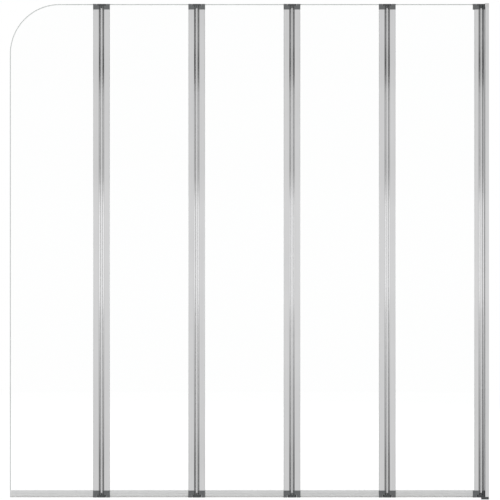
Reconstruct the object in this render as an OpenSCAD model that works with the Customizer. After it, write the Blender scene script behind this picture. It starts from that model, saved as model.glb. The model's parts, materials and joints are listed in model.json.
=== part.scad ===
// Folding bath screen: five clear glass panels in a row, held by a channel on the wall.
// Neighbouring panels are joined by hinges with two upright pivots each, so that the
// panels fold flat on one another. X points to the wall, Z up, and the wall face is x = 0.
// z = 0 is the lower end of the wall channel, and y = 0 the middle of the glass.

/* [Overall] */
// Length of the wall channel
wall_height = 1190; // [600:1:1800]
// Distance between the middles of neighbouring folding hinges
panel_pitch = 230; // [160:1:400]
// Distance from the wall hinge to the first folding hinge
first_pitch = 227; // [160:1:400]
// Distance from the last folding hinge to the free edge of the glass
last_reach = 221; // [140:1:400]
// Radius of the free upper corner of the glass
corner_r = 120; // [20:1:200]
// Height by which the panels end below the top of the wall channel
panel_top_step = 0.2; // [0.2:0.1:20]
// Height by which the panels hang below the lower end of the wall channel
panel_overhang = 1.9; // [0.5:0.1:3]

/* [Glass, gaskets and seals] */
// Thickness of the glass
glass_t = 4; // [3:0.5:5]
// Thickness of the gasket under the edge of the glass
gasket_floor = 1; // [0.6:0.1:1.2]
// Height of the soft bead by which the gasket stands out of its profile
gasket_bead = 0.3; // [0.2:0.1:0.4]
// Height of glass gripped by the bottom seal
seal_grip = 12.9; // [8:0.1:14]
// Wall thickness of the bottom seal
seal_wall = 1; // [0.7:0.1:1.2]
// Thickness of the seal between the glass and its bulb
seal_floor = 1.2; // [0.8:0.1:1.6]
// Outer diameter of the bulb that wipes the rim of the bath
bulb_d = 3.2; // [2.4:0.1:3.4]
// Height of the bulb above the underside of the end caps
bulb_step = 0.2; // [0:0.1:0.6]
// Wall thickness of that bulb
bulb_wall = 0.7; // [0.5:0.1:0.9]
// Radius of the drip bead along each side of the bottom seal
drip_r = 0.45; // [0.3:0.05:0.6]

/* [Edge profiles] */
// Thickness of the panel profiles, which is the diameter of their round nose
profile_t = 8.4; // [8.2:0.1:9.2]
// Distance from the pivot axis to the mouth that holds the glass
flange_reach = 13.1; // [12:0.05:30]
// The same distance on the profile beside the wall hinge
wall_flange_reach = 9.65; // [9.5:0.05:20]
// Thickness of the side walls of the profiles
side_wall = 1.2; // [1:0.1:1.3]
// Thickness of the web between pivot bore and glass pocket
web_t = 1; // [0.8:0.1:1.2]
// Depth of the lips that hold the gasket at the mouth
lip_depth = 1.2; // [0.8:0.1:1.6]
// Thickness of these lips, measured inwards from the side wall
lip_t = 0.35; // [0.2:0.05:0.5]
// Radius on the outer edges of the mouth
mouth_r = 0.5; // [0.3:0.1:0.8]

/* [Hinges] */
// Width of the bar between the two pivots
bar_w = 4.3; // [4:0.1:8]
// Wall thickness of that bar
bar_wall = 1; // [0.8:0.1:1.1]
// Radius on the corners of the bar
bar_corner = 0.4; // [0.2:0.1:0.8]
// Radius of the screw port in the middle of the bar
port_r = 1.25; // [1:0.05:1.4]
// Thickness of the bar between its screw port and its end pockets
port_wall = 0.75; // [0.6:0.05:0.8]
// Diameter of the steel pivot pins
pin_d = 3; // [2.4:0.1:4]
// Wall thickness of the bush that turns on the pin
bush_wall = 1; // [0.8:0.05:1.4]
// Length of bush inside the profile
bush_length = 12; // [6:0.5:30]
// Plastic left over the ends of the pins in the end bridges
pin_cover = 1.2; // [1:0.1:1.8]
// Height of the upper end bridges
bridge_top_h = 10.8; // [8:0.1:12]
// Height of the lower end bridges
bridge_bottom_h = 11.6; // [8:0.1:14]
// Thickness of the plates by which the upper bridges reach over the pivots
plate_top_h = 3.6; // [3.2:0.1:6]
// Thickness of the same plates of the lower bridges
plate_bottom_h = 6.1; // [3.2:0.1:7]
// Length of the pegs that hold the bridge square on the bar
peg_length = 4; // [2:0.5:8]
// Length of the bridge screws
bridge_screw_l = 20; // [16:1:30]
// Diameter of their countersunk heads
bridge_screw_head_d = 5.4; // [4.5:0.1:6]
// Width of the cross recess in the screws
recess_w = 0.7; // [0.5:0.05:0.9]

/* [End caps] */
// Height of the upper end caps
cap_top_h = 13.6; // [12.5:0.1:24]
// Height of the lower end caps
cap_bottom_h = 17.1; // [16:0.1:30]
// Distance by which the caps reach past the mouth of the profiles
cap_lap = 0.45; // [0.4:0.05:3]
// Plastic left above the top edge of the glass
cap_cover = 0.5; // [0.4:0.1:2]
// Plastic left under the bottom edge of the glass
cap_floor = 4.6; // [4.5:0.1:6]
// Thickness of the wall of the cap in front of the edge of the glass
cap_web = 1.35; // [1.1:0.05:2.2]
// Bevel on the outer edges of caps and bridges
bevel = 0.6; // [0.2:0.1:0.8]

/* [Wall channel] */
// Depth of the channel, measured from the wall
channel_depth = 9.1; // [8.5:0.1:16]
// Width of the channel over its side walls
channel_w = 15.2; // [14.8:0.1:16]
// Thickness of the side walls
channel_wall = 1.3; // [1:0.1:1.5]
// Thickness of the back that lies on the wall
channel_back = 1.6; // [1.2:0.1:2]
// Diameter of the holes for the wall screws
wall_hole_d = 5; // [4:0.1:6]
// Distance from each end of the channel to the nearest wall screw
wall_hole_inset = 95; // [20:0.5:200]
// Distance from the mouth of the channel to the fixed pivot axis
neck_length = 2.5; // [2.3:0.05:12]
// Thickness of the web and legs of the adjusting profile
adjust_t = 1.2; // [1:0.1:1.4]
// Length of its legs inside the channel
adjust_leg = 6.1; // [5:0.1:6.3]
// Distance from the ends of the channel to the outer adjusting screws
adjust_screw_inset = 60; // [30:1:90]
// Distance from the mouth of the channel to the adjusting screws
adjust_screw_depth = 3.7; // [3.4:0.1:4]
// Head diameter of the adjusting screws
adjust_head_d = 6; // [4:0.1:6.4]
// Head height of the adjusting screws
adjust_head_h = 1; // [0.6:0.1:1.1]
// Shank diameter of the adjusting screws
adjust_shank_d = 2.9; // [2:0.1:3.5]
// Length of the adjusting screws under their head
adjust_screw_l = 4.2; // [3.4:0.1:4.6]
// Width of the soft strips between channel and adjusting profile
strip_w = 2.9; // [2:0.1:3]
// Thickness of the lips of these strips
strip_t = 0.6; // [0.4:0.1:0.8]
// Width of the grooves that hold the strips
groove_w = 0.9; // [0.6:0.1:1.2]
// Depth of these grooves
groove_depth = 0.8; // [0.5:0.1:1]
// Thickness of the wall channel's bottom cap
foot_t = 6.4; // [4:0.1:10]
// Distance from the middle of the wall hinge to the end of this cap
foot_step = 0.2; // [0:0.1:3]
// Radius of its two free corners
foot_r = 2; // [1:0.5:4]
// Thickness of the walls of its plug in the channel
foot_wall = 1; // [0.8:0.1:1.4]
// Height of the channel's top cap
lid_h = 9.4; // [6:0.1:12]
// Thickness of the top and skirt of that cap
lid_t = 1.2; // [1:0.1:2]
// Thickness of its skirt over the side walls
lid_skirt = 0.4; // [0.3:0.05:0.6]

/* [Clearances] */
// Gap between pieces that are fixed together
fit_gap = 0.05; // [0.02:0.01:0.1]
// Gap around a pin in its bush
run_gap = 0.05; // [0.02:0.01:0.09]
// Gap beside the adjusting profile in the channel
slide_gap = 0.1; // [0.05:0.05:0.2]
// Gap between pieces that turn past one another
hinge_gap = 0.3; // [0.25:0.05:0.6]
// Gap between a bridge and the block of the end cap that swings round it
swing_gap = 0.4; // [0.3:0.05:0.6]

/* [Hidden] */
$fn = 64;
over = 1;                                       // how far a cut runs past a face

panel_sides = 5;
links = panel_sides - 1;

nose_r = profile_t / 2;
pin_r = pin_d / 2;
bush_r = pin_r + run_gap + bush_wall;
bore_r = bush_r + fit_gap;
pivot_half = bar_w / 2 + hinge_gap + nose_r;    // hinge middle to each pivot axis

pocket_start = bore_r + web_t;
pocket_half = nose_r - side_wall;
lip_half = pocket_half - lip_t;
cap_start = nose_r + swing_gap;                 // pivot axis to the block of the end cap
cap_reach = flange_reach + cap_lap;             // pivot axis to the far end of that block
glass_start = cap_start + cap_web + fit_gap;    // pivot axis to the edge of the glass

fixed_pivot_x = -(channel_depth + neck_length);
wall_hinge_x = fixed_pivot_x - pivot_half;
function hinge_x(i) = wall_hinge_x - (i == 0 ? 0 : first_pitch + (i - 1) * panel_pitch);
function inner_pivot(i) = hinge_x(i - 1) - pivot_half;
function outer_pivot(i) = hinge_x(i) + pivot_half;
free_edge_x = hinge_x(links) - last_reach;

panel_z0 = -panel_overhang;
panel_z1 = wall_height - panel_top_step;
edge_z0 = panel_z0 + cap_bottom_h;
edge_z1 = panel_z1 - cap_top_h;
glass_z0 = panel_z0 + cap_floor;
glass_z1 = panel_z1 - cap_cover;
bar_z0 = panel_z0 + bridge_bottom_h;
bar_z1 = panel_z1 - bridge_top_h;
nose_top_h = cap_top_h - plate_top_h - hinge_gap;
nose_bottom_h = cap_bottom_h - plate_bottom_h - hinge_gap;

bar_pocket_y0 = port_r + port_wall;
bar_pocket_y1 = nose_r - bar_wall;
bar_pocket_half = bar_w / 2 - bar_wall;
screw_r = port_r - fit_gap;
screw_head_r = bridge_screw_head_d / 2;
screw_head_h = screw_head_r - screw_r;
recess_reach = 0.6;                             // share of the head's radius
recess_share = 0.7;                             // share of the head's height
tip_share = 0.25;                               // share of the screw's radius at its tip

seal_half = glass_t / 2 + seal_wall;
seal_z1 = glass_z0 + seal_grip;
seal_z0 = glass_z0 - seal_floor;
bulb_z = panel_z0 + bulb_d / 2 + bulb_step;
drip_z = (seal_z0 + seal_z1) / 2;

channel_half = channel_w / 2;
channel_inner = channel_half - channel_wall;
leg_half = channel_inner - slide_gap;
wall_hole_zs = [wall_hole_inset, wall_height / 2, wall_height - wall_hole_inset];
adjust_screw_x = -channel_depth + adjust_screw_depth;
adjust_screw_zs = [adjust_screw_inset, wall_height / 2 + adjust_screw_inset,
                   wall_height - adjust_screw_inset];
strip_out = channel_half - hinge_gap;

chrome = "#c9cacb";
plastic_dark = "#55575a";
plastic_light = "#c4c5c4";
soft_grey = "#a3a4a5";
soft_clear = "#cacbca";
steel = "#b5b7ba";
glass_tint = [0.86, 0.92, 0.91, 0.35];

WALL_NODES = ["wall_profile", "adjusting_profile", "channel_strips", "adjusting_screws",
              "wall_top_cap", "wall_bottom_cap", "wall_hinge_head", "wall_hinge_bar",
              "wall_hinge_pins", "wall_hinge_screws"];
INNER_PIECES = ["glass", "inner_profile", "outer_profile", "gaskets", "top_caps",
                "bottom_caps", "bottom_seal"];
FREE_PIECES = ["glass", "inner_profile", "gaskets", "top_caps", "bottom_caps",
               "bottom_seal"];
LINK_PIECES = ["bar", "bridges", "pins", "screws"];

// Placing helpers

// Puts an edge piece at a pivot, with its glass side towards +X (side = 1) or -X (side = -1)
module at_pivot(x, side) {
    translate([x, 0, 0]) rotate([0, 0, side > 0 ? 0 : 180]) children();
}

// Draws children for every edge of a panel that has a hinge
module each_edge(i) {
    at_pivot(inner_pivot(i), -1) children();
    if (i <= links) at_pivot(outer_pivot(i), 1) children();
}

// A block from its two corners
module block(low, high) {
    translate(low) cube(high - low);
}

// Outline from x0 to x1, half_w to each side, with two round corners at x0
module round_ended(x0, x1, half_w, r) {
    translate([x0 + r, -half_w]) square([x1 - x0 - r, 2 * half_w]);
    translate([x0, r - half_w]) square([x1 - x0, 2 * (half_w - r)]);
    for (s = [-1, 1]) translate([x0 + r, s * (half_w - r)]) circle(r = r);
}

// Edge profiles and gaskets, drawn around the pivot axis with the glass towards +X

module edge_outline(reach) {
    circle(r = nose_r);
    mirror([1, 0]) round_ended(-reach, 0, nose_r, mouth_r);
}

module edge_section(reach) {
    difference() {
        edge_outline(reach);
        circle(r = bore_r);
        translate([pocket_start, -pocket_half])
            square([reach - lip_depth - pocket_start, 2 * pocket_half]);
        translate([pocket_start, -lip_half])
            square([reach + over - pocket_start, 2 * lip_half]);
    }
}

module edge_profile(reach) {
    color(chrome)
        translate([0, 0, edge_z0])
            linear_extrude(edge_z1 - edge_z0) edge_section(reach);
}

// A channel of soft plastic round the edge of the glass, with a bead outside each lip
module gasket_section(reach) {
    glass_half = glass_t / 2;
    shoulder = reach - lip_depth;
    half = [[glass_start, glass_half], [reach + gasket_bead, glass_half],
            [reach, lip_half + lip_t / 2], [reach, lip_half], [shoulder, lip_half],
            [shoulder, pocket_half], [glass_start - gasket_floor, pocket_half]];
    mirrored_half = [for (i = [len(half) - 1 : -1 : 0]) [half[i][0], -half[i][1]]];
    polygon(concat(half, mirrored_half));
}

module gasket(reach) {
    color(soft_clear)
        translate([0, 0, edge_z0])
            linear_extrude(edge_z1 - edge_z0) gasket_section(reach);
}

// End caps. z = 0 is the end of the profile, and +Z points away from it

module bevelled_block(x0, x1, h) {
    w = nose_r - bevel;
    intersection() {
        translate([x0, 0, 0]) rotate([90, 0, 90])
            linear_extrude(x1 - x0)
                polygon([[-nose_r, 0], [nose_r, 0], [nose_r, h - bevel], [w, h],
                         [-w, h], [-nose_r, h - bevel]]);
        linear_extrude(h) edge_outline(x1);
    }
}

// Closes a profile, grips the glass beyond it and carries the bush for the pivot pin
module end_cap(h, nose_h, glass_h) {
    slot_half = glass_t / 2 + fit_gap;
    tongue_half = pocket_half - fit_gap;
    tongue_start = pocket_start + fit_gap;
    tongue_end = glass_start - gasket_floor - fit_gap;
    difference() {
        union() {
            bevelled_block(cap_start, cap_reach, h);
            linear_extrude(nose_h) {
                circle(r = nose_r);
                translate([0, -nose_r]) square([cap_start + over, profile_t]);
            }
            translate([0, 0, -bush_length]) cylinder(r = bush_r, h = bush_length + over);
            block([tongue_start, -tongue_half, -bush_length],
                  [tongue_end, tongue_half, over]);
        }
        translate([0, 0, -bush_length - over])
            cylinder(r = pin_r + run_gap, h = bush_length + nose_h + 2 * over);
        block([glass_start - fit_gap, -slot_half, -over],
              [cap_reach + over, slot_half, glass_h]);
    }
}

module top_cap() {
    color(plastic_dark)
        translate([0, 0, edge_z1]) end_cap(cap_top_h, nose_top_h, cap_top_h - cap_cover);
}

module bottom_cap() {
    color(plastic_dark)
        translate([0, 0, edge_z0]) mirror([0, 0, 1])
            end_cap(cap_bottom_h, nose_bottom_h, cap_bottom_h - cap_floor);
}

// Panels

// Left and right edges of the glass of panel i
function glass_x0(i) = i > links ? free_edge_x : outer_pivot(i) + glass_start;
function glass_x1(i) = inner_pivot(i) - glass_start;

module glass(i) {
    w = glass_x1(i) - glass_x0(i);
    h = glass_z1 - glass_z0;
    r = i > links ? corner_r : 0;
    color(glass_tint)
        translate([glass_x0(i), glass_t / 2, glass_z0]) rotate([90, 0, 0])
            linear_extrude(glass_t)
                difference() {
                    square([w, h]);
                    if (r > 0)
                        difference() {
                            translate([-over, h - r]) square([r + over, r + over]);
                            translate([r, h - r]) circle(r = r, $fn = 180);
                        }
                }
}

// Grips the lower edge of the glass and wipes the rim of the bath with a hollow bulb
module seal_section() {
    glass_half = glass_t / 2;
    bulb_r = bulb_d / 2;
    difference() {
        union() {
            translate([-seal_half, seal_z0]) square([2 * seal_half, seal_z1 - seal_z0]);
            for (s = [-1, 1]) translate([s * seal_half, drip_z]) circle(r = drip_r);
            translate([-bulb_wall, bulb_z]) square([2 * bulb_wall, seal_z0 - bulb_z + seal_floor]);
            translate([0, bulb_z]) circle(r = bulb_r);
        }
        translate([-glass_half, glass_z0]) square([glass_t, seal_grip + over]);
        translate([0, bulb_z]) circle(r = bulb_r - bulb_wall);
    }
}

module bottom_seal(i) {
    x0 = i > links ? free_edge_x : outer_pivot(i) + cap_reach + fit_gap;
    x1 = inner_pivot(i) - cap_reach - fit_gap;
    color(soft_clear)
        translate([x0, 0, 0]) rotate([90, 0, 90]) linear_extrude(x1 - x0) seal_section();
}

function inner_reach(i) = i == 1 ? wall_flange_reach : flange_reach;

module inner_profile(i) {
    at_pivot(inner_pivot(i), -1) edge_profile(inner_reach(i));
}

module outer_profile(i) {
    at_pivot(outer_pivot(i), 1) edge_profile(flange_reach);
}

module gaskets(i) {
    at_pivot(inner_pivot(i), -1) gasket(inner_reach(i));
    if (i <= links) at_pivot(outer_pivot(i), 1) gasket(flange_reach);
}

module panel_piece(i, piece) {
    if (piece == "glass") glass(i);
    if (piece == "inner_profile") inner_profile(i);
    if (piece == "outer_profile") outer_profile(i);
    if (piece == "gaskets") gaskets(i);
    if (piece == "top_caps") each_edge(i) top_cap();
    if (piece == "bottom_caps") each_edge(i) bottom_cap();
    if (piece == "bottom_seal") bottom_seal(i);
}

// Hinge links, drawn around the middle of the hinge

module bar_outline() {
    square([bar_w, profile_t - 2 * bar_corner], center = true);
    square([bar_w - 2 * bar_corner, profile_t], center = true);
    for (sx = [-1, 1], sy = [-1, 1])
        translate([sx * (bar_w / 2 - bar_corner), sy * (nose_r - bar_corner)])
            circle(r = bar_corner);
}

module hinge_bar() {
    color(chrome)
        translate([0, 0, bar_z0]) linear_extrude(bar_z1 - bar_z0)
            difference() {
                bar_outline();
                circle(r = port_r);
                for (s = [-1, 1])
                    translate([0, s * (bar_pocket_y0 + bar_pocket_y1) / 2])
                        square([2 * bar_pocket_half, bar_pocket_y1 - bar_pocket_y0],
                               center = true);
            }
}

// A bevelled disc of the nose's radius
module lobe(h) {
    cylinder(r = nose_r, h = h - bevel);
    translate([0, 0, h - bevel]) cylinder(r1 = nose_r, r2 = nose_r - bevel, h = bevel);
}

// A stem on the end of the bar, z = 0, and a plate that reaches from it over both pivots
module bridge(h, plate_h) {
    w = nose_r - bevel;
    linear_extrude(h - plate_h + over) bar_outline();
    translate([0, 0, h - plate_h]) {
        for (s = [-1, 1]) translate([s * pivot_half, 0, 0]) lobe(plate_h);
        translate([-pivot_half, 0, 0]) rotate([90, 0, 90])
            linear_extrude(2 * pivot_half)
                polygon([[-nose_r, 0], [nose_r, 0], [nose_r, plate_h - bevel], [w, plate_h],
                         [-w, plate_h], [-nose_r, plate_h - bevel]]);
    }
}

module bridge_cuts(h, sides) {
    for (s = sides)
        translate([s * pivot_half, 0, -over]) cylinder(r = pin_r, h = h - pin_cover + over);
    translate([0, 0, -over]) cylinder(r = screw_r + fit_gap, h = h + 2 * over);
    translate([0, 0, h - screw_head_h - fit_gap])
        cylinder(r1 = screw_r + fit_gap, r2 = screw_head_r + 2 * fit_gap,
                 h = screw_head_h + 2 * fit_gap);
}

// Pegs that enter the pockets of the bar
module bridge_pegs() {
    half = bar_pocket_half - fit_gap;
    for (s = [-1, 1])
        translate([0, s * (bar_pocket_y0 + bar_pocket_y1) / 2, (over - peg_length) / 2])
            cube([2 * half, bar_pocket_y1 - bar_pocket_y0 - 2 * fit_gap, peg_length + over],
                 center = true);
}

module end_bridge(h, plate_h) {
    color(plastic_dark) {
        difference() {
            bridge(h, plate_h);
            bridge_cuts(h, [-1, 1]);
        }
        bridge_pegs();
    }
}

module bridges() {
    translate([0, 0, bar_z1]) end_bridge(bridge_top_h, plate_top_h);
    translate([0, 0, bar_z0]) mirror([0, 0, 1]) end_bridge(bridge_bottom_h, plate_bottom_h);
}

// Each pin runs from its blind hole in the bridge to the end of the bush
module pins(sides) {
    color(steel)
        for (s = sides) {
            translate([s * pivot_half, 0, edge_z1 - bush_length])
                cylinder(r = pin_r, h = bush_length + cap_top_h - pin_cover);
            translate([s * pivot_half, 0, panel_z0 + pin_cover])
                cylinder(r = pin_r, h = bush_length + cap_bottom_h - pin_cover);
        }
}

// Cross recess in a head whose top is at z = 0
module cross_recess(head_r, head_h) {
    for (a = [0, 90])
        rotate([0, 0, a])
            block([-head_r * recess_reach, -recess_w / 2, -head_h * recess_share],
                  [head_r * recess_reach, recess_w / 2, over]);
}

// A countersunk screw with its head's top at z = 0 and its tip down
module countersunk_screw() {
    difference() {
        union() {
            translate([0, 0, -screw_head_h])
                cylinder(r1 = screw_r, r2 = screw_head_r, h = screw_head_h);
            translate([0, 0, -bridge_screw_l + screw_r])
                cylinder(r = screw_r, h = bridge_screw_l - screw_r - screw_head_h / 2);
            translate([0, 0, -bridge_screw_l])
                cylinder(r1 = screw_r * tip_share, r2 = screw_r, h = screw_r);
        }
        cross_recess(screw_head_r, screw_head_h);
    }
}

module bridge_screws() {
    color(steel) {
        translate([0, 0, panel_z1]) countersunk_screw();
        translate([0, 0, panel_z0]) mirror([0, 0, 1]) countersunk_screw();
    }
}

module link_piece(i, piece) {
    translate([hinge_x(i), 0, 0]) {
        if (piece == "bar") hinge_bar();
        if (piece == "bridges") bridges();
        if (piece == "pins") pins([-1, 1]);
        if (piece == "screws") bridge_screws();
    }
}

// Wall side

module channel_section() {
    difference() {
        round_ended(-channel_depth, 0, channel_half, mouth_r);
        translate([-channel_depth - over, -channel_inner])
            square([channel_depth + over - channel_back, 2 * channel_inner]);
    }
}

module wall_profile() {
    color(chrome)
        difference() {
            linear_extrude(wall_height) channel_section();
            for (z = wall_hole_zs)
                translate([over, 0, z]) rotate([0, -90, 0])
                    cylinder(d = wall_hole_d, h = channel_back + 2 * over);
            for (z = adjust_screw_zs)
                translate([adjust_screw_x, channel_inner - over, z]) rotate([-90, 0, 0])
                    cylinder(r = adjust_shank_d / 2 + 2 * fit_gap, h = channel_wall + 2 * over);
        }
}

// Round nose on a neck, with a web and two legs that slide in the channel
module adjusting_section() {
    difference() {
        union() {
            circle(r = nose_r);
            translate([0, -nose_r]) square([neck_length + adjust_t, profile_t]);
            translate([neck_length, -leg_half]) square([adjust_t, 2 * leg_half]);
            for (s = [-1, 1])
                translate([neck_length, s * (leg_half - adjust_t / 2) - adjust_t / 2])
                    square([adjust_leg, adjust_t]);
        }
        circle(r = bore_r);
        for (s = [-1, 1])
            translate([neck_length - strip_w / 2, s * nose_r])
                square([groove_w, 2 * groove_depth], center = true);
    }
}

module adjusting_profile() {
    color(chrome)
        difference() {
            translate([fixed_pivot_x, 0, edge_z0])
                linear_extrude(edge_z1 - edge_z0) adjusting_section();
            for (z = adjust_screw_zs)
                translate([adjust_screw_x, leg_half - adjust_t - over, z]) rotate([-90, 0, 0])
                    cylinder(r = adjust_shank_d / 2 + fit_gap, h = adjust_t + 2 * over);
        }
}

// Soft strip that closes the slit beside the neck of the adjusting profile
module strip_section() {
    translate([neck_length, 0]) {
        polygon([[-strip_w, nose_r], [0, nose_r], [0, strip_out], [-strip_t, strip_out],
                 [-strip_w + strip_t, nose_r + strip_t], [-strip_w, nose_r + strip_t / 2]]);
        translate([-strip_w / 2 - groove_w / 2 + fit_gap, nose_r - groove_depth + fit_gap])
            square([groove_w - 2 * fit_gap, groove_depth]);
    }
}

module channel_strips() {
    color(soft_grey)
        translate([fixed_pivot_x, 0, edge_z0]) linear_extrude(edge_z1 - edge_z0) {
            strip_section();
            mirror([0, 1]) strip_section();
        }
}

module adjusting_screws() {
    color(steel)
        for (z = adjust_screw_zs)
            translate([adjust_screw_x, channel_half, z]) rotate([-90, 0, 0])
                difference() {
                    union() {
                        cylinder(r1 = adjust_head_d / 2, r2 = adjust_head_d / 2 - adjust_head_h / 2,
                                 h = adjust_head_h);
                        translate([0, 0, -adjust_screw_l])
                            cylinder(d = adjust_shank_d, h = adjust_screw_l + adjust_head_h / 2);
                    }
                    translate([0, 0, adjust_head_h])
                        cross_recess(adjust_head_d / 2 - adjust_head_h / 2, adjust_head_h);
                }
}

// Light cap on the top of the channel, with a plug inside and a skirt on each side
module wall_top_cap() {
    skirt_half = channel_half + fit_gap + lid_skirt;
    plug_half = channel_inner - fit_gap;
    z1 = wall_height + lid_t;
    x0 = -channel_depth - lid_skirt;
    plug_x0 = max(-channel_depth + fit_gap, fixed_pivot_x + nose_r + hinge_gap);
    plug_x1 = -channel_back - fit_gap;
    color(plastic_light)
        difference() {
            union() {
                translate([0, 0, wall_height]) linear_extrude(lid_t)
                    round_ended(x0, 0, skirt_half, mouth_r);
                for (s = [-1, 1])
                    translate([x0, s * (skirt_half - lid_skirt / 2) - lid_skirt / 2, z1 - lid_h])
                        cube([-x0, lid_skirt, lid_h]);
                block([plug_x0, -plug_half, z1 - lid_h], [plug_x1, plug_half, z1]);
            }
            block([plug_x0 + lid_t, -plug_half + lid_t, z1 - lid_h - over],
                  [plug_x1 - lid_t, plug_half - lid_t, wall_height]);
        }
}

// The same bridge with a fixed nose and neck, and a plug for the end of the adjusting profile
module fixed_bridge(h, plate_h, cap_h) {
    nose_h = cap_h - plate_h + over;
    neck_half = nose_r - bevel;
    difference() {
        union() {
            bridge(h, plate_h);
            translate([pivot_half, 0, h - cap_h]) {
                cylinder(r = nose_r, h = nose_h);
                block([0, -neck_half, 0], [neck_length + over, neck_half, nose_h]);
                translate([0, 0, -bush_length]) cylinder(r = bush_r, h = bush_length + over);
            }
        }
        bridge_cuts(h, [-1]);
    }
    bridge_pegs();
}

module wall_hinge_head() {
    color(plastic_dark)
        translate([wall_hinge_x, 0, bar_z1]) fixed_bridge(bridge_top_h, plate_top_h, cap_top_h);
}

// Dark foot under the channel, made in one piece with the lower fixed half of the hinge
module wall_bottom_cap() {
    plug_half = channel_inner - fit_gap;
    plug_x0 = -channel_depth + fit_gap;
    plug_x1 = -channel_back - fit_gap;
    color(plastic_dark)
        difference() {
            union() {
                translate([wall_hinge_x, 0, bar_z0]) mirror([0, 0, 1])
                    fixed_bridge(bridge_bottom_h, plate_bottom_h, cap_bottom_h);
                translate([0, 0, -foot_t]) linear_extrude(foot_t)
                    round_ended(wall_hinge_x + foot_step, -hinge_gap, channel_half, foot_r);
                block([plug_x0, -plug_half, -over], [plug_x1, plug_half, bar_z0]);
            }
            block([plug_x0 + 2 * foot_wall, foot_wall - plug_half, foot_wall],
                  [plug_x1 - foot_wall, plug_half - foot_wall, bar_z0 + over]);
            translate([wall_hinge_x, 0, bar_z0]) mirror([0, 0, 1])
                bridge_cuts(bridge_bottom_h, [-1]);
            translate([wall_hinge_x, 0, -foot_t - over])
                cylinder(r = screw_head_r + 2 * fit_gap, h = foot_t - panel_overhang + over);
        }
}

module wall_piece(piece) {
    if (piece == "wall_profile") wall_profile();
    if (piece == "adjusting_profile") adjusting_profile();
    if (piece == "channel_strips") channel_strips();
    if (piece == "adjusting_screws") adjusting_screws();
    if (piece == "wall_top_cap") wall_top_cap();
    if (piece == "wall_bottom_cap") wall_bottom_cap();
    if (piece == "wall_hinge_head") wall_hinge_head();
    if (piece == "wall_hinge_bar") translate([wall_hinge_x, 0, 0]) hinge_bar();
    if (piece == "wall_hinge_pins") translate([wall_hinge_x, 0, 0]) pins([-1]);
    if (piece == "wall_hinge_screws") translate([wall_hinge_x, 0, 0]) bridge_screws();
}

for (p = WALL_NODES)
    wall_piece(p);

for (i = [1 : panel_sides], p = i > links ? FREE_PIECES : INNER_PIECES)
    panel_piece(i, p);

for (i = [1 : links], p = LINK_PIECES)
    link_piece(i, p);
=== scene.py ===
# Folding bath screen: five clear sheets, bright edge profiles, dark hinge caps and a wall channel.
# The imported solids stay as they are. Glass, hinge bars, bottom seals, gaskets and channel strips are
# built here in their place, each as large as the solid that it stands for.
import json
import math
import bpy
import bmesh
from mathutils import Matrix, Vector


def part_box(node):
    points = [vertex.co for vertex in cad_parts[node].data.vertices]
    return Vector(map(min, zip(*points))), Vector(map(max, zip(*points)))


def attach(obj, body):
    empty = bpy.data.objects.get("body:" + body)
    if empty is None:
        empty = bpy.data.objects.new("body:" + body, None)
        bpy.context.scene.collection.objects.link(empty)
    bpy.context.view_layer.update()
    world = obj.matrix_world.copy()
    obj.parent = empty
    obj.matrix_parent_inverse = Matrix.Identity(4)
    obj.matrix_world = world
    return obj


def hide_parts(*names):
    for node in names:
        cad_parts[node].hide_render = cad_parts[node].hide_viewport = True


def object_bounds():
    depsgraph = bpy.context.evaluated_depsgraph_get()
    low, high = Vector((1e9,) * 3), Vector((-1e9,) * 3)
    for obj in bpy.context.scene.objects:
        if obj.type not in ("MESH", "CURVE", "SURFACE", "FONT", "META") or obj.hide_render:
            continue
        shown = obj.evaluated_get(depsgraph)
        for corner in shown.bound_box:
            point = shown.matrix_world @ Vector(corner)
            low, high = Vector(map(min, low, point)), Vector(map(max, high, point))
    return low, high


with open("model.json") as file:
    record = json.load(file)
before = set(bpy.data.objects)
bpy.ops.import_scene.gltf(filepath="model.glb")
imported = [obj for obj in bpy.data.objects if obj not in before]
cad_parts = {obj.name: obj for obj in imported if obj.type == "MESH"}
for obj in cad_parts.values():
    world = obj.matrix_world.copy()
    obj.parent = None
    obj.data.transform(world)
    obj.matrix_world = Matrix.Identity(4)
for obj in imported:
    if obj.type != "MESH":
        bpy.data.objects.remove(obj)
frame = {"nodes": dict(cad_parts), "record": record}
solids = frame["nodes"]
cadBox = [list(corner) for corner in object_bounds()]
mm = 0.001
panels, hinges = range(1, 6), range(1, 5)
print("screen: frame loaded with", len(solids), "pieces")


# Node helpers

def addNode(tree, kind, sockets=None, **settings):
    node = tree.nodes.new(kind)
    for key, value in settings.items():
        setattr(node, key, value)
    for key, value in (sockets or {}).items():
        if isinstance(value, bpy.types.NodeSocket):
            tree.links.new(value, node.inputs[key])
        else:
            node.inputs[key].default_value = value
    return node


def calc(tree, operation, first, second=0.0):
    return addNode(tree, "ShaderNodeMath", {0: first, 1: second}, operation=operation).outputs[0]


def spread(tree, value, target, source=(0.0, 1.0), smooth=False):  # carries one range over to another
    kind = "SMOOTHSTEP" if smooth else "LINEAR"
    ends = {"Value": value, "From Min": source[0], "From Max": source[1],
            "To Min": target[0], "To Max": target[1]}
    return addNode(tree, "ShaderNodeMapRange", ends, interpolation_type=kind).outputs["Result"]


def blendColours(tree, factor, first, second):  # each a named colour or the output of a node
    sockets = {0: factor}
    for key, colour in ((6, first), (7, second)):
        sockets[key] = colour if isinstance(colour, bpy.types.NodeSocket) else (*colour, 1)
    return addNode(tree, "ShaderNodeMix", sockets, data_type="RGBA").outputs[2]


def blendValues(tree, factor, first, second):
    return addNode(tree, "ShaderNodeMix", {0: factor, 2: first, 3: second}).outputs[0]


def weigh(tree, first, second, share):  # share of the first, the rest from the second
    return calc(tree, "ADD", calc(tree, "MULTIPLY", first, share),
                calc(tree, "MULTIPLY", second, 1 - share))


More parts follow.
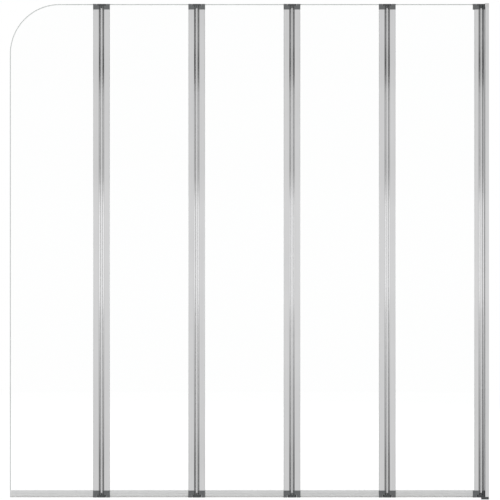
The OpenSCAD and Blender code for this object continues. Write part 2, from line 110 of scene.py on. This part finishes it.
def noiseOf(tree, scale, stretch=(1, 1, 1), detail=3.0, rough=0.5):  # in the object's own metres
    place = addNode(tree, "ShaderNodeTexCoord").outputs["Object"]
    placed = addNode(tree, "ShaderNodeMapping", {"Vector": place, "Scale": stretch}).outputs[0]
    sockets = {"Vector": placed, "Scale": scale, "Detail": detail, "Roughness": rough}
    return addNode(tree, "ShaderNodeTexNoise", sockets).outputs["Fac"]


def turnedTo(tree, axis):  # how squarely the surface faces along an axis of the object, 0 to 1
    normal = addNode(tree, "ShaderNodeTexCoord").outputs["Normal"]
    return calc(tree, "ABSOLUTE", addNode(tree, "ShaderNodeSeparateXYZ", {0: normal}).outputs[axis])


def seenStraight(tree):  # 1 for rays from the camera, also through the glass
    path = addNode(tree, "ShaderNodeLightPath").outputs
    return calc(tree, "MAXIMUM", path["Is Camera Ray"], path["Is Transmission Ray"])


def startMaterial(name, **fixed):
    material = bpy.data.materials.new(name)
    material.use_nodes = True
    tree = material.node_tree
    shader = tree.nodes["Principled BSDF"]
    for key, value in fixed.items():
        shader.inputs[key.replace("_", " ")].default_value = value
    return material, tree, shader


def bumpInto(tree, shader, height, relief):  # relief is the bump's strength and its depth in mm
    sockets = {"Height": height, "Strength": relief[0], "Distance": relief[1] * mm}
    tree.links.new(addNode(tree, "ShaderNodeBump", sockets).outputs[0], shader.inputs["Normal"])


# Finishes

edgeProfile = {"dull": (0.72, 0.72, 0.725), "bright": (0.77, 0.77, 0.775),
               "roughness": (0.025, 0.06)}
hingeBar = {"dull": (0.82, 0.82, 0.825), "bright": (0.87, 0.87, 0.875), "roughness": (0.02, 0.05)}
drawing = {"across": 1500, "along": 2.5, "lineShare": 0.45, "cloud": 7.0, "cloudDetail": 4.0,
           "tones": (0.35, 0.65), "fine": 260.0, "fineDetail": 2.0, "wearShare": 0.6,
           "wear": (0.3, 0.7), "relief": (0.05, 0.01)}


def makeAluminium(name, finish):  # polished, with the fine lines of the die along its length
    material, tree, shader = startMaterial(name, Metallic=1.0)
    lines = noiseOf(tree, 1.0, (drawing["across"], drawing["across"], drawing["along"]))
    cloud = noiseOf(tree, drawing["cloud"], detail=drawing["cloudDetail"])
    mixed = weigh(tree, lines, cloud, drawing["lineShare"])
    tone = spread(tree, mixed, (0, 1), drawing["tones"], True)
    tree.links.new(blendColours(tree, tone, finish["dull"], finish["bright"]),
                   shader.inputs["Base Color"])
    fine = noiseOf(tree, drawing["fine"], detail=drawing["fineDetail"])
    wear = weigh(tree, lines, fine, drawing["wearShare"])
    tree.links.new(spread(tree, wear, finish["roughness"], drawing["wear"]),
                   shader.inputs["Roughness"])
    bumpInto(tree, shader, lines, drawing["relief"])
    return material


pinSteel = {"dark": (0.42, 0.43, 0.44), "light": (0.58, 0.585, 0.59), "roughness": (0.22, 0.38),
            "grain": 900.0, "grainStretch": (1, 1, 4), "grainDetail": 4.0, "patch": 120.0,
            "patchDetail": 2.0, "relief": (0.12, 0.03)}


def makePinSteel():
    material, tree, shader = startMaterial("pinSteel", Metallic=1.0)
    grain = noiseOf(tree, pinSteel["grain"], pinSteel["grainStretch"], pinSteel["grainDetail"])
    tree.links.new(blendColours(tree, grain, pinSteel["dark"], pinSteel["light"]),
                   shader.inputs["Base Color"])
    patch = noiseOf(tree, pinSteel["patch"], detail=pinSteel["patchDetail"])
    tree.links.new(spread(tree, patch, pinSteel["roughness"]), shader.inputs["Roughness"])
    bumpInto(tree, shader, grain, pinSteel["relief"])
    return material


# sides is a painted shade: the share of the colour left on faces turned along the object's X axis;
# moulding's sideTurn is where it starts and ends
panelCap = {"dark": (0.082, 0.087, 0.089), "light": (0.107, 0.114, 0.117), "ior": 1.95,
            "roughness": (0.34, 0.46), "grain": 2600.0, "relief": (0.22, 0.05), "sides": 0.35}
hingeMoulding = {"dark": (0.036, 0.040, 0.041), "light": (0.051, 0.057, 0.059), "ior": 1.8,
                 "roughness": (0.38, 0.5), "grain": 2600.0, "relief": (0.22, 0.05), "sides": 0.6}
channelCap = {"dark": (0.60, 0.60, 0.595), "light": (0.67, 0.67, 0.665), "ior": 1.5,
              "roughness": (0.36, 0.48), "grain": 2600.0, "relief": (0.15, 0.05), "sides": 0.95}
softStrip = {"dark": (0.37, 0.375, 0.38), "light": (0.43, 0.435, 0.44), "ior": 1.4,
             "roughness": (0.5, 0.66), "grain": 1500.0, "relief": (0.2, 0.05), "sides": 1.0}
moulding = {"cloud": 55.0, "grainDetail": 5.0, "grainRough": 0.6, "grainShare": 0.5,
            "tones": (0.3, 0.7), "wear": (0.3, 0.7), "sideTurn": (0.12, 0.55)}


def makePlastic(name, finish):  # moulded, with a fine eroded grain, and a painted shade that darkens faces turned along the object's X axis
    material, tree, shader = startMaterial(name, IOR=finish["ior"])
    grain = noiseOf(tree, finish["grain"], detail=moulding["grainDetail"], rough=moulding["grainRough"])
    cloud = noiseOf(tree, moulding["cloud"])
    mixed = weigh(tree, grain, cloud, moulding["grainShare"])
    tone = spread(tree, mixed, (0, 1), moulding["tones"], True)
    colour = blendColours(tree, tone, finish["dark"], finish["light"])
    # painted shade: the colour is darkened where the face turns along the object's X axis, for the
    # shaded look of rounded noses and sides
    shade = spread(tree, turnedTo(tree, "X"), (1, finish["sides"]), moulding["sideTurn"], True)
    paintedShadeColour = addNode(tree, "ShaderNodeVectorMath", {0: colour, 3: shade}, operation="SCALE")
    tree.links.new(paintedShadeColour.outputs[0], shader.inputs["Base Color"])
    tree.links.new(spread(tree, cloud, finish["roughness"], moulding["wear"]),
                   shader.inputs["Roughness"])
    bumpInto(tree, shader, grain, finish["relief"])
    return material


sealSoft = {"dark": (0.82, 0.825, 0.822), "light": (0.88, 0.885, 0.88), "roughness": (0.24, 0.36),
            "clear": 0.12, "ior": 1.52, "flow": (4.0, 900.0, 900.0), "flowShare": 0.5,
            "cloud": 40.0, "tones": (0.25, 0.75), "relief": (0.08, 0.05)}


def makeSealSoft():  # soft and a little see-through, with faint flow lines along its length
    material, tree, shader = startMaterial("sealSoft", Transmission_Weight=sealSoft["clear"],
                                           IOR=sealSoft["ior"])
    flow = noiseOf(tree, 1.0, sealSoft["flow"])
    cloud = noiseOf(tree, sealSoft["cloud"])
    mixed = weigh(tree, flow, cloud, sealSoft["flowShare"])
    tone = spread(tree, mixed, (0, 1), sealSoft["tones"], True)
    tree.links.new(blendColours(tree, tone, sealSoft["dark"], sealSoft["light"]),
                   shader.inputs["Base Color"])
    tree.links.new(spread(tree, cloud, sealSoft["roughness"]), shader.inputs["Roughness"])
    bumpInto(tree, shader, flow, sealSoft["relief"])
    return material


clearSheet = {"clear": (1.0, 1.0, 1.0), "marked": (0.994, 1.0, 0.998), "shade": (0.96, 0.975, 0.97),
              "ior": 1.5, "marks": 90.0, "markStretch": (1, 1, 0.35), "markDetail": 5.0,
              "markRough": 0.7, "markEdge": (0.62, 0.8), "roughness": (0, 0.02)}


def makeClearGlass():  # polished faces, with faint dried marks in the roughness only
    material, tree, shader = startMaterial("clearGlass", Transmission_Weight=1.0,
                                           IOR=clearSheet["ior"])
    marks = noiseOf(tree, clearSheet["marks"], clearSheet["markStretch"],
                    clearSheet["markDetail"], clearSheet["markRough"])
    tree.links.new(blendColours(tree, marks, clearSheet["clear"], clearSheet["marked"]),
                   shader.inputs["Base Color"])
    tree.links.new(spread(tree, marks, clearSheet["roughness"], clearSheet["markEdge"], True),
                   shader.inputs["Roughness"])
    isShadow = addNode(tree, "ShaderNodeLightPath").outputs["Is Shadow Ray"]
    through = addNode(tree, "ShaderNodeBsdfTransparent", {"Color": (*clearSheet["shade"], 1)})
    sockets = {0: isShadow, 1: shader.outputs[0], 2: through.outputs[0]}
    mixed = addNode(tree, "ShaderNodeMixShader", sockets)
    tree.links.new(mixed.outputs[0], tree.nodes["Material Output"].inputs["Surface"])
    return material


# ground is the painted shade of the rim's outer face, dark as a glass edge looks end on
sheetRim = {"ground": (0.16, 0.22, 0.20), "dark": (0.62, 0.65, 0.64), "light": (0.76, 0.785, 0.775),
            "roughness": (0.3, 0.5), "clear": 0.3, "ior": 1.5, "grind": 1400.0, "grindDetail": 4.0,
            "grindRough": 0.65, "turn": (0.45, 0.75), "relief": (0.3, 0.03)}


def makeSheetRim():  # ground outer face that turns into a polished arris at both faces of the glass; the outer face's dark colour is a painted shade for a glass edge seen end on
    material, tree, shader = startMaterial("sheetRim", Transmission_Weight=sheetRim["clear"],
                                           IOR=sheetRim["ior"])
    grind = noiseOf(tree, sheetRim["grind"], detail=sheetRim["grindDetail"],
                    rough=sheetRim["grindRough"])
    arris = blendColours(tree, grind, sheetRim["dark"], sheetRim["light"])
    # painted shade: faces turned away from the glass's faces take the dark colour, those facing along Y
    # stay light
    outer = spread(tree, turnedTo(tree, "Y"), (1, 0), sheetRim["turn"], True)
    tree.links.new(blendColours(tree, outer, arris, sheetRim["ground"]), shader.inputs["Base Color"])
    tree.links.new(spread(tree, grind, sheetRim["roughness"]), shader.inputs["Roughness"])
    bumpInto(tree, shader, grind, sheetRim["relief"])
    return material


sealPlastic = makeSealSoft()
stripPlastic = makePlastic("stripPlastic", softStrip)
clearGlass = makeClearGlass()
rimGlass = makeSheetRim()
capPlastic = makePlastic("capPlastic", panelCap)
hingePlastic = makePlastic("hingePlastic", hingeMoulding)

barAluminium = makeAluminium("barAluminium", hingeBar)
finishes = {"bright_aluminium": makeAluminium("brightAluminium", edgeProfile), "steel": makePinSteel(),
            "dark_plastic": capPlastic, "light_plastic": makePlastic("lidPlastic", channelCap),
            "grey_strip": stripPlastic, "soft_seal": sealPlastic, "clear_glass": clearGlass}
slotOf = {part["node"]: part["material_slot"] for part in frame["record"]["subparts"]}
for name, piece in solids.items():
    finish = finishes[slotOf[name]]
    if name.endswith("_bridges") or name in ("wall_hinge_head", "wall_bottom_cap"):
        finish = hingePlastic
    piece.data.materials.clear()
    piece.data.materials.append(finish)
print("screen: finishes on the packed solids")


# Mesh helpers

def addObject(name, data):
    made = bpy.data.objects.new(name, data)
    bpy.context.scene.collection.objects.link(made)
    return made


def arc(x, y, radius, start, end, steps):  # points of an arc, angles in degrees
    turns = [math.radians(start + (end - start) * k / steps) for k in range(steps + 1)]
    return [(x + radius * math.cos(turn), y + radius * math.sin(turn)) for turn in turns]


def circle(x, y, radius, steps):
    return arc(x, y, radius, 0, 360, steps)[:-1]


onLine = 1e-6                                                       # nearer counts as on the line


def mirrored(half):  # closes a right half, listed from the middle line outwards and back to it
    return half + [(-u, v) for u, v in reversed(half) if abs(u) > onLine]


def flipped(half):  # closes an upper half, listed along the middle line's upper side
    return half + [(u, -v) for u, v in reversed(half) if abs(v) > onLine]


def stationsOf(low, high, step):
    count = max(1, round((high - low) / step))
    return [low + (high - low) * k / count for k in range(count + 1)]


def sweep(mesh, loops, stations, place):  # carries closed loops along stations and caps both ends
    rims = {0: [], -1: []}
    for loop in loops:
        rings = [[mesh.verts.new(place(u, v, s)) for u, v in loop] for s in stations]
        turns = [(k, (k + 1) % len(loop)) for k in range(len(loop))]
        for first, second in zip(rings, rings[1:]):
            for k, n in turns:
                mesh.faces.new((first[k], first[n], second[n], second[k]))
        for end, rim in rims.items():
            rim.extend(mesh.edges.get((rings[end][k], rings[end][n])) for k, n in turns)
    for rim in rims.values():
        bmesh.ops.triangle_fill(mesh, use_beauty=True, use_dissolve=False, edges=rim)


def finishPiece(mesh, name, materials, body, stands, smoothAngle=30):
    bmesh.ops.recalc_face_normals(mesh, faces=mesh.faces)
    data = bpy.data.meshes.new(name)
    mesh.to_mesh(data)
    mesh.free()
    for material in materials:
        data.materials.append(material)
    for polygon in data.polygons:
        polygon.use_smooth = True
    data.set_sharp_from_angle(angle=math.radians(smoothAngle))
    piece = addObject(name, data)
    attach(piece, body)
    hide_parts(stands)
    return piece


# Glass

sheet = {"rim": 2.0, "rimSteps": 12, "corner": 120.0, "cornerSteps": 48, "smooth": 40}


def makeSheet(index):  # flat faces and a half-round rim; the last one has a quarter-round corner
    low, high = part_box(f"panel_{index}_glass")

    def outline(inset):
        x0, x1, z0, z1 = low.x + inset, high.x - inset, low.z + inset, high.z - inset
        points = [(x0, z0), (x1, z0), (x1, z1)]
        if index < panels[-1]:
            return points + [(x0, z1)]
        radius = sheet["corner"] * mm - inset
        return points + arc(x0 + radius, z1 - radius, radius, 90, 180, sheet["cornerSteps"])

    mesh = bmesh.new()
    rings = []
    for k in range(sheet["rimSteps"] + 1):
        turn = math.pi * k / sheet["rimSteps"]
        y = low.y + (high.y - low.y) * (1 - math.cos(turn)) / 2
        inset = sheet["rim"] * mm * (1 - math.sin(turn))
        rings.append([mesh.verts.new((x, y, z)) for x, z in outline(inset)])
    for first, second in zip(rings, rings[1:]):
        for k in range(len(first)):
            n = (k + 1) % len(first)
            mesh.faces.new((first[k], first[n], second[n], second[k])).material_index = 1
    mesh.faces.new(rings[0])
    mesh.faces.new(rings[-1])
    piece = finishPiece(mesh, f"sheet{index}", [clearGlass, rimGlass], f"panel_{index}",
                        f"panel_{index}_glass", sheet["smooth"])
    for polygon in piece.data.polygons:
        polygon.use_smooth = polygon.material_index == 1


for index in panels:
    makeSheet(index)
print("screen: five sheets with rounded rims")


# Hinge bars

bar = {"crown": 16.0, "corner": 1.2, "bore": 1.25, "pocket": (2.0, 3.2), "pocketHalf": 1.15,
       "cornerSteps": 8, "crownSteps": 4, "boreSteps": 24, "step": 60.0}


def makeHingeBar(name, node, body):  # faintly crowned faces that run into well rounded corners
    low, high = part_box(node)
    middle, half, deep = (low.x + high.x) / 2, (high.x - low.x) / 2 / mm, high.y / mm
    crown, corner = bar["crown"], bar["corner"]
    rise = math.sqrt((crown - corner) ** 2 - (half - corner) ** 2)
    lean = math.degrees(math.atan2(half - corner, rise))
    quarter = arc(half - corner, deep - crown + rise, corner, 0, 90 - lean, bar["cornerSteps"])
    quarter += arc(0, deep - crown, crown, 90 - lean, 90, bar["crownSteps"])[1:]
    loops = [flipped(mirrored(quarter)), circle(0, 0, bar["bore"], bar["boreSteps"])]
    (near, far), wide = bar["pocket"], bar["pocketHalf"]
    for side in (-1, 1):                                            # pockets for the bridges' pegs
        loops.append([(-wide, side * near), (wide, side * near), (wide, side * far),
                      (-wide, side * far)])
    mesh = bmesh.new()
    sweep(mesh, loops, stationsOf(low.z, high.z, bar["step"] * mm),
          lambda u, v, z: (middle + u * mm, v * mm, z))
    finishPiece(mesh, name, [barAluminium], body, node)


makeHingeBar("wallHingeBar", "wall_hinge_bar", "wall_side")
for index in hinges:
    makeHingeBar(f"hingeBar{index}", f"link_{index}_bar", f"link_{index}")
print("screen: bars between the pivots")


# Soft bottom seals

seal = {"glassHalf": 2.0, "lip": 1.0, "tip": 0.5, "inner": 0.25, "drip": 0.45, "corner": 0.5,
        "bulb": 1.6, "bore": 0.9, "neck": 0.75, "fillet": 0.3, "innerSteps": 3, "tipSteps": 8,
        "cornerSteps": 5, "bulbSteps": 16, "boreSteps": 20, "step": 12.0}


def makeBottomSeal(index):  # two lips on the glass, each with a drip bead, over a hollow bulb
    low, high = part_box(f"panel_{index}_bottom_seal")
    half, tip, bulb, inner = seal["glassHalf"], seal["tip"], seal["bulb"], seal["inner"]
    top = (high.z - low.z) / mm                                     # heights above the bulb's underside
    floor = (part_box(f"panel_{index}_glass")[0].z - low.z) / mm
    outer = half + seal["lip"]
    shelf = 2 * bulb                                                # underside of the lips
    meet = math.degrees(math.asin(seal["neck"] / bulb))
    loop = [(0, floor)] + arc(half - inner, floor + inner, inner, -90, 0, seal["innerSteps"])
    loop += arc(half + tip, top - tip, tip, 180, 0, seal["tipSteps"])
    loop += arc(outer, (shelf + top) / 2, seal["drip"], 90, -90, seal["tipSteps"])
    loop += arc(outer - seal["corner"], shelf + seal["corner"], seal["corner"], 0, -90,
                seal["cornerSteps"])
    loop += [(seal["neck"] + seal["fillet"], shelf)]
    loop += arc(0, bulb, bulb, 90 - meet, -90, seal["bulbSteps"])
    bore = circle(0, bulb, seal["bore"], seal["boreSteps"])
    mesh = bmesh.new()
    sweep(mesh, [mirrored(loop), bore], stationsOf(low.x, high.x, seal["step"] * mm),
          lambda u, v, x: (x, u * mm, low.z + v * mm))
    finishPiece(mesh, f"bottomSeal{index}", [sealPlastic], f"panel_{index}",
                f"panel_{index}_bottom_seal")


for index in panels:
    makeBottomSeal(index)
print("screen: five bottom seals with hollow bulbs")


# Glazing gaskets

gasket = {"floor": 1.0, "glassHalf": 2.0, "half": 3.0, "round": 0.3, "roundSteps": 3, "lip": 0.35,
          "lipDepth": 1.2, "bead": 0.3, "beadSteps": 5, "step": 60.0}


def makeGaskets(index):  # channels round the glass edges, with a bead outside the profile's lips
    low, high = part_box(f"panel_{index}_gaskets")
    glassLow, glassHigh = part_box(f"panel_{index}_glass")
    edges = [(glassHigh.x, -1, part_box(f"panel_{index}_inner_profile")[0].x)]
    if index < panels[-1]:
        edges.append((glassLow.x, 1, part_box(f"panel_{index}_outer_profile")[1].x))
    inside, back = gasket["glassHalf"], -gasket["floor"]
    soft, lip = gasket["half"], gasket["half"] - gasket["lip"]
    rise, bead = lip + gasket["lip"] / 2 - inside, gasket["bead"]
    mesh = bmesh.new()
    for edge, side, mouth in edges:
        deep = abs(mouth - edge) / mm                               # glass inside the profile
        shoulder = deep - gasket["lipDepth"]
        loop = [(back, 0)] + arc(back + gasket["round"], soft - gasket["round"], gasket["round"],
                                 180, 90, gasket["roundSteps"])
        loop += [(shoulder, soft), (shoulder, lip), (deep, lip)]
        loop += [(deep + bead * u, inside + rise * v)
                 for u, v in arc(0, 0, 1, 90, 0, gasket["beadSteps"])]
        loop += [(0, inside), (0, 0)]
        sweep(mesh, [flipped(loop)], stationsOf(low.z, high.z, gasket["step"] * mm),
              lambda u, v, z: (edge + side * u * mm, v * mm, z))
    finishPiece(mesh, f"gaskets{index}", [sealPlastic], f"panel_{index}",
                f"panel_{index}_gaskets")


for index in panels:
    makeGaskets(index)
print("screen: gaskets round the glass edges")


# Channel strips

strip = {"neckHalf": 4.2, "lip": 0.6, "groove": 0.75, "grooveHalf": 0.4, "edge": 0.3,
         "edgeSteps": 5, "ribs": 4, "ribDepth": 0.12, "step": 40.0}


def makeChannelStrips():  # a ribbed slope on each side, with a key in the neck's groove
    low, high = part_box("channel_strips")
    width, reach = (high.x - low.x) / mm, high.y / mm
    neck, lip, edge = strip["neckHalf"], strip["lip"], strip["edge"]
    start, stop = Vector((lip, neck + lip)), Vector((width - lip, reach - edge))
    normal = Vector((start.y - stop.y, stop.x - start.x)).normalized()
    slope, halfRibs = [], 2 * strip["ribs"]
    for k in range(1, halfRibs):
        depth = -strip["ribDepth"] if k % 2 else 0
        slope.append(tuple(start.lerp(stop, k / halfRibs) + normal * depth))
    left, right = width / 2 - strip["grooveHalf"], width / 2 + strip["grooveHalf"]
    floor = neck - strip["groove"]
    loop = [(0, neck), (0, neck + lip / 2), tuple(start)] + slope + [tuple(stop)]
    loop += arc(width - edge, reach - edge, edge, 90, 0, strip["edgeSteps"])
    loop += [(width, neck), (right, neck), (right, floor), (left, floor), (left, neck)]
    mesh = bmesh.new()
    for side in (-1, 1):
        sweep(mesh, [[(u, side * v) for u, v in loop]], stationsOf(low.z, high.z, strip["step"] * mm),
              lambda u, v, z: (low.x + u * mm, v * mm, z))
    finishPiece(mesh, "channelStrips", [stripPlastic], "wall_side", "channel_strips")


makeChannelStrips()
print("screen: ribbed strips in the channel mouth")


# Studio

white = (1, 1, 1, 1)
# pale is the level that lights the object, and the rest is what bright metal mirrors
studio = {"pale": 0.62, "front": 0.785, "frontGain": 0.07, "frontTurn": (0.09, 0.3),
          "sideGain": (0.68, 1.7), "sideTurn": (0.6, 0.85), "endOn": 0.78, "endTurn": (0.97, 0.99),
          "span": 8.0}                                              # span in degrees off level
sideBands = [(-7.0, 0.60), (-4.6, 0.12), (-4.0, 0.20), (-3.7, 0.18), (-3.2, 0.36), (-2.6, 0.45),
             (-1.3, 0.69), (-1.05, 0.76), (-0.9, 1.0), (0.85, 1.0), (1.0, 0.72), (1.2, 0.57),
             (1.4, 0.44), (2.0, 0.54), (2.75, 0.54), (3.02, 0.05), (3.34, 0.05), (3.6, 0.26),
             (4.2, 0.12), (4.6, 0.15), (7.0, 0.60)]                 # elevation in degrees, level


def makeStudioWorld():  # white all round; mirrors also see soft grey cards low and high at the sides
    world = bpy.data.worlds.new("studioWorld")
    bpy.context.scene.world = world
    world.use_nodes = True
    world.cycles.sampling_method = "NONE"
    tree = world.node_tree
    way = addNode(tree, "ShaderNodeSeparateXYZ",
                  {0: addNode(tree, "ShaderNodeTexCoord").outputs["Generated"]}).outputs
    span = math.sin(math.radians(studio["span"]))
    ramp = addNode(tree, "ShaderNodeValToRGB", {0: spread(tree, way["Z"], (0, 1), (-span, span))})
    stops = ramp.color_ramp.elements
    while len(stops) < len(sideBands):
        stops.new(0.5)                                              # placed in the next loop
    for stop, (angle, level) in zip(stops, sideBands):
        stop.position = (math.sin(math.radians(angle)) / span + 1) / 2
        stop.color = (level, level, level, 1)
    band = ramp.outputs["Color"]
    sideways = calc(tree, "ABSOLUTE", way["X"])
    front = calc(tree, "ADD", calc(tree, "MULTIPLY", band, studio["frontGain"]), studio["front"])
    gain = spread(tree, sideways, studio["sideGain"], studio["sideTurn"], True)
    toEnd = spread(tree, sideways, (0, 1), studio["endTurn"], True)
    side = blendValues(tree, toEnd, calc(tree, "MULTIPLY", band, gain), studio["endOn"])
    toSide = spread(tree, sideways, (0, 1), studio["frontTurn"], True)
    mirror = blendValues(tree, toSide, front, side)
    seen = seenStraight(tree)
    isGlossy = addNode(tree, "ShaderNodeLightPath").outputs["Is Glossy Ray"]
    glossy = calc(tree, "MULTIPLY", isGlossy, calc(tree, "SUBTRACT", 1.0, seen))
    lit = blendValues(tree, glossy, studio["pale"], mirror)
    sky = tree.nodes["Background"]
    sky.inputs["Color"].default_value = white
    tree.links.new(blendValues(tree, seen, lit, 1.0), sky.inputs["Strength"])


ground = {"reach": 6.0, "below": 0.05, "shades": (0.88, 0.90), "mottle": 3.0, "roughness": 0.9,
          "seen": 0.20, "glow": 0.88}


def makeFloor():  # pale, fades into the white behind it and keeps the object's shadow
    low, reach = cadBox[0][2] - ground["below"] * mm, ground["reach"]
    data = bpy.data.meshes.new("studioFloor")
    data.from_pydata([(-reach, -reach, low), (reach, -reach, low), (reach, reach, low),
                      (-reach, reach, low)], [], [(0, 1, 2, 3)])
    material, tree, shader = startMaterial("studioFloor", Roughness=ground["roughness"],
                                           Specular_IOR_Level=0.0)
    seen = seenStraight(tree)
    shade = spread(tree, noiseOf(tree, ground["mottle"]), ground["shades"])
    tree.links.new(blendValues(tree, seen, shade, ground["seen"]), shader.inputs["Base Color"])
    shader.inputs["Emission Color"].default_value = white
    tree.links.new(calc(tree, "MULTIPLY", seen, ground["glow"]), shader.inputs["Emission Strength"])
    data.materials.append(material)
    floor = addObject("studioFloor", data)
    floor.visible_glossy = False


lamps = {"frontLamp": {"place": (-2.4, -3.4, 2.6), "power": 52, "size": 2.4},
         "backLamp": {"place": (0.9, 3.6, 2.4), "power": 40, "size": 2.4}}
lampTarget = (-0.58, 0, 0.6)


def makeLamp(name, lamp):  # a soft round lamp that mirrors and the camera don't see
    data = bpy.data.lights.new(name, "AREA")
    data.shape, data.size, data.energy = "DISK", lamp["size"], lamp["power"]
    light = addObject(name, data)
    light.location = lamp["place"]
    aim = Vector(lampTarget) - light.location
    light.rotation_euler = aim.to_track_quat("-Z", "Y").to_euler()
    light.visible_camera = light.visible_glossy = light.visible_transmission = False


picture = {"distance": 8.0, "middle": (-0.5766, 0.5957), "width": 1.2075, "sensor": 36.0}


def makeCamera():  # square on, as far off as the photograph's even edges ask
    data = bpy.data.cameras.new("pictureCamera")
    data.sensor_width = picture["sensor"]
    data.lens = picture["sensor"] * picture["distance"] / picture["width"]
    camera = addObject("pictureCamera", data)
    camera.location = (picture["middle"][0], -picture["distance"], picture["middle"][1])
    camera.rotation_euler = (math.radians(90), 0, 0)
    bpy.context.scene.camera = camera


makeStudioWorld()
makeFloor()
for name, lamp in lamps.items():
    makeLamp(name, lamp)
makeCamera()
bpy.context.scene.view_settings.view_transform = "Standard"
print("screen: studio and camera")
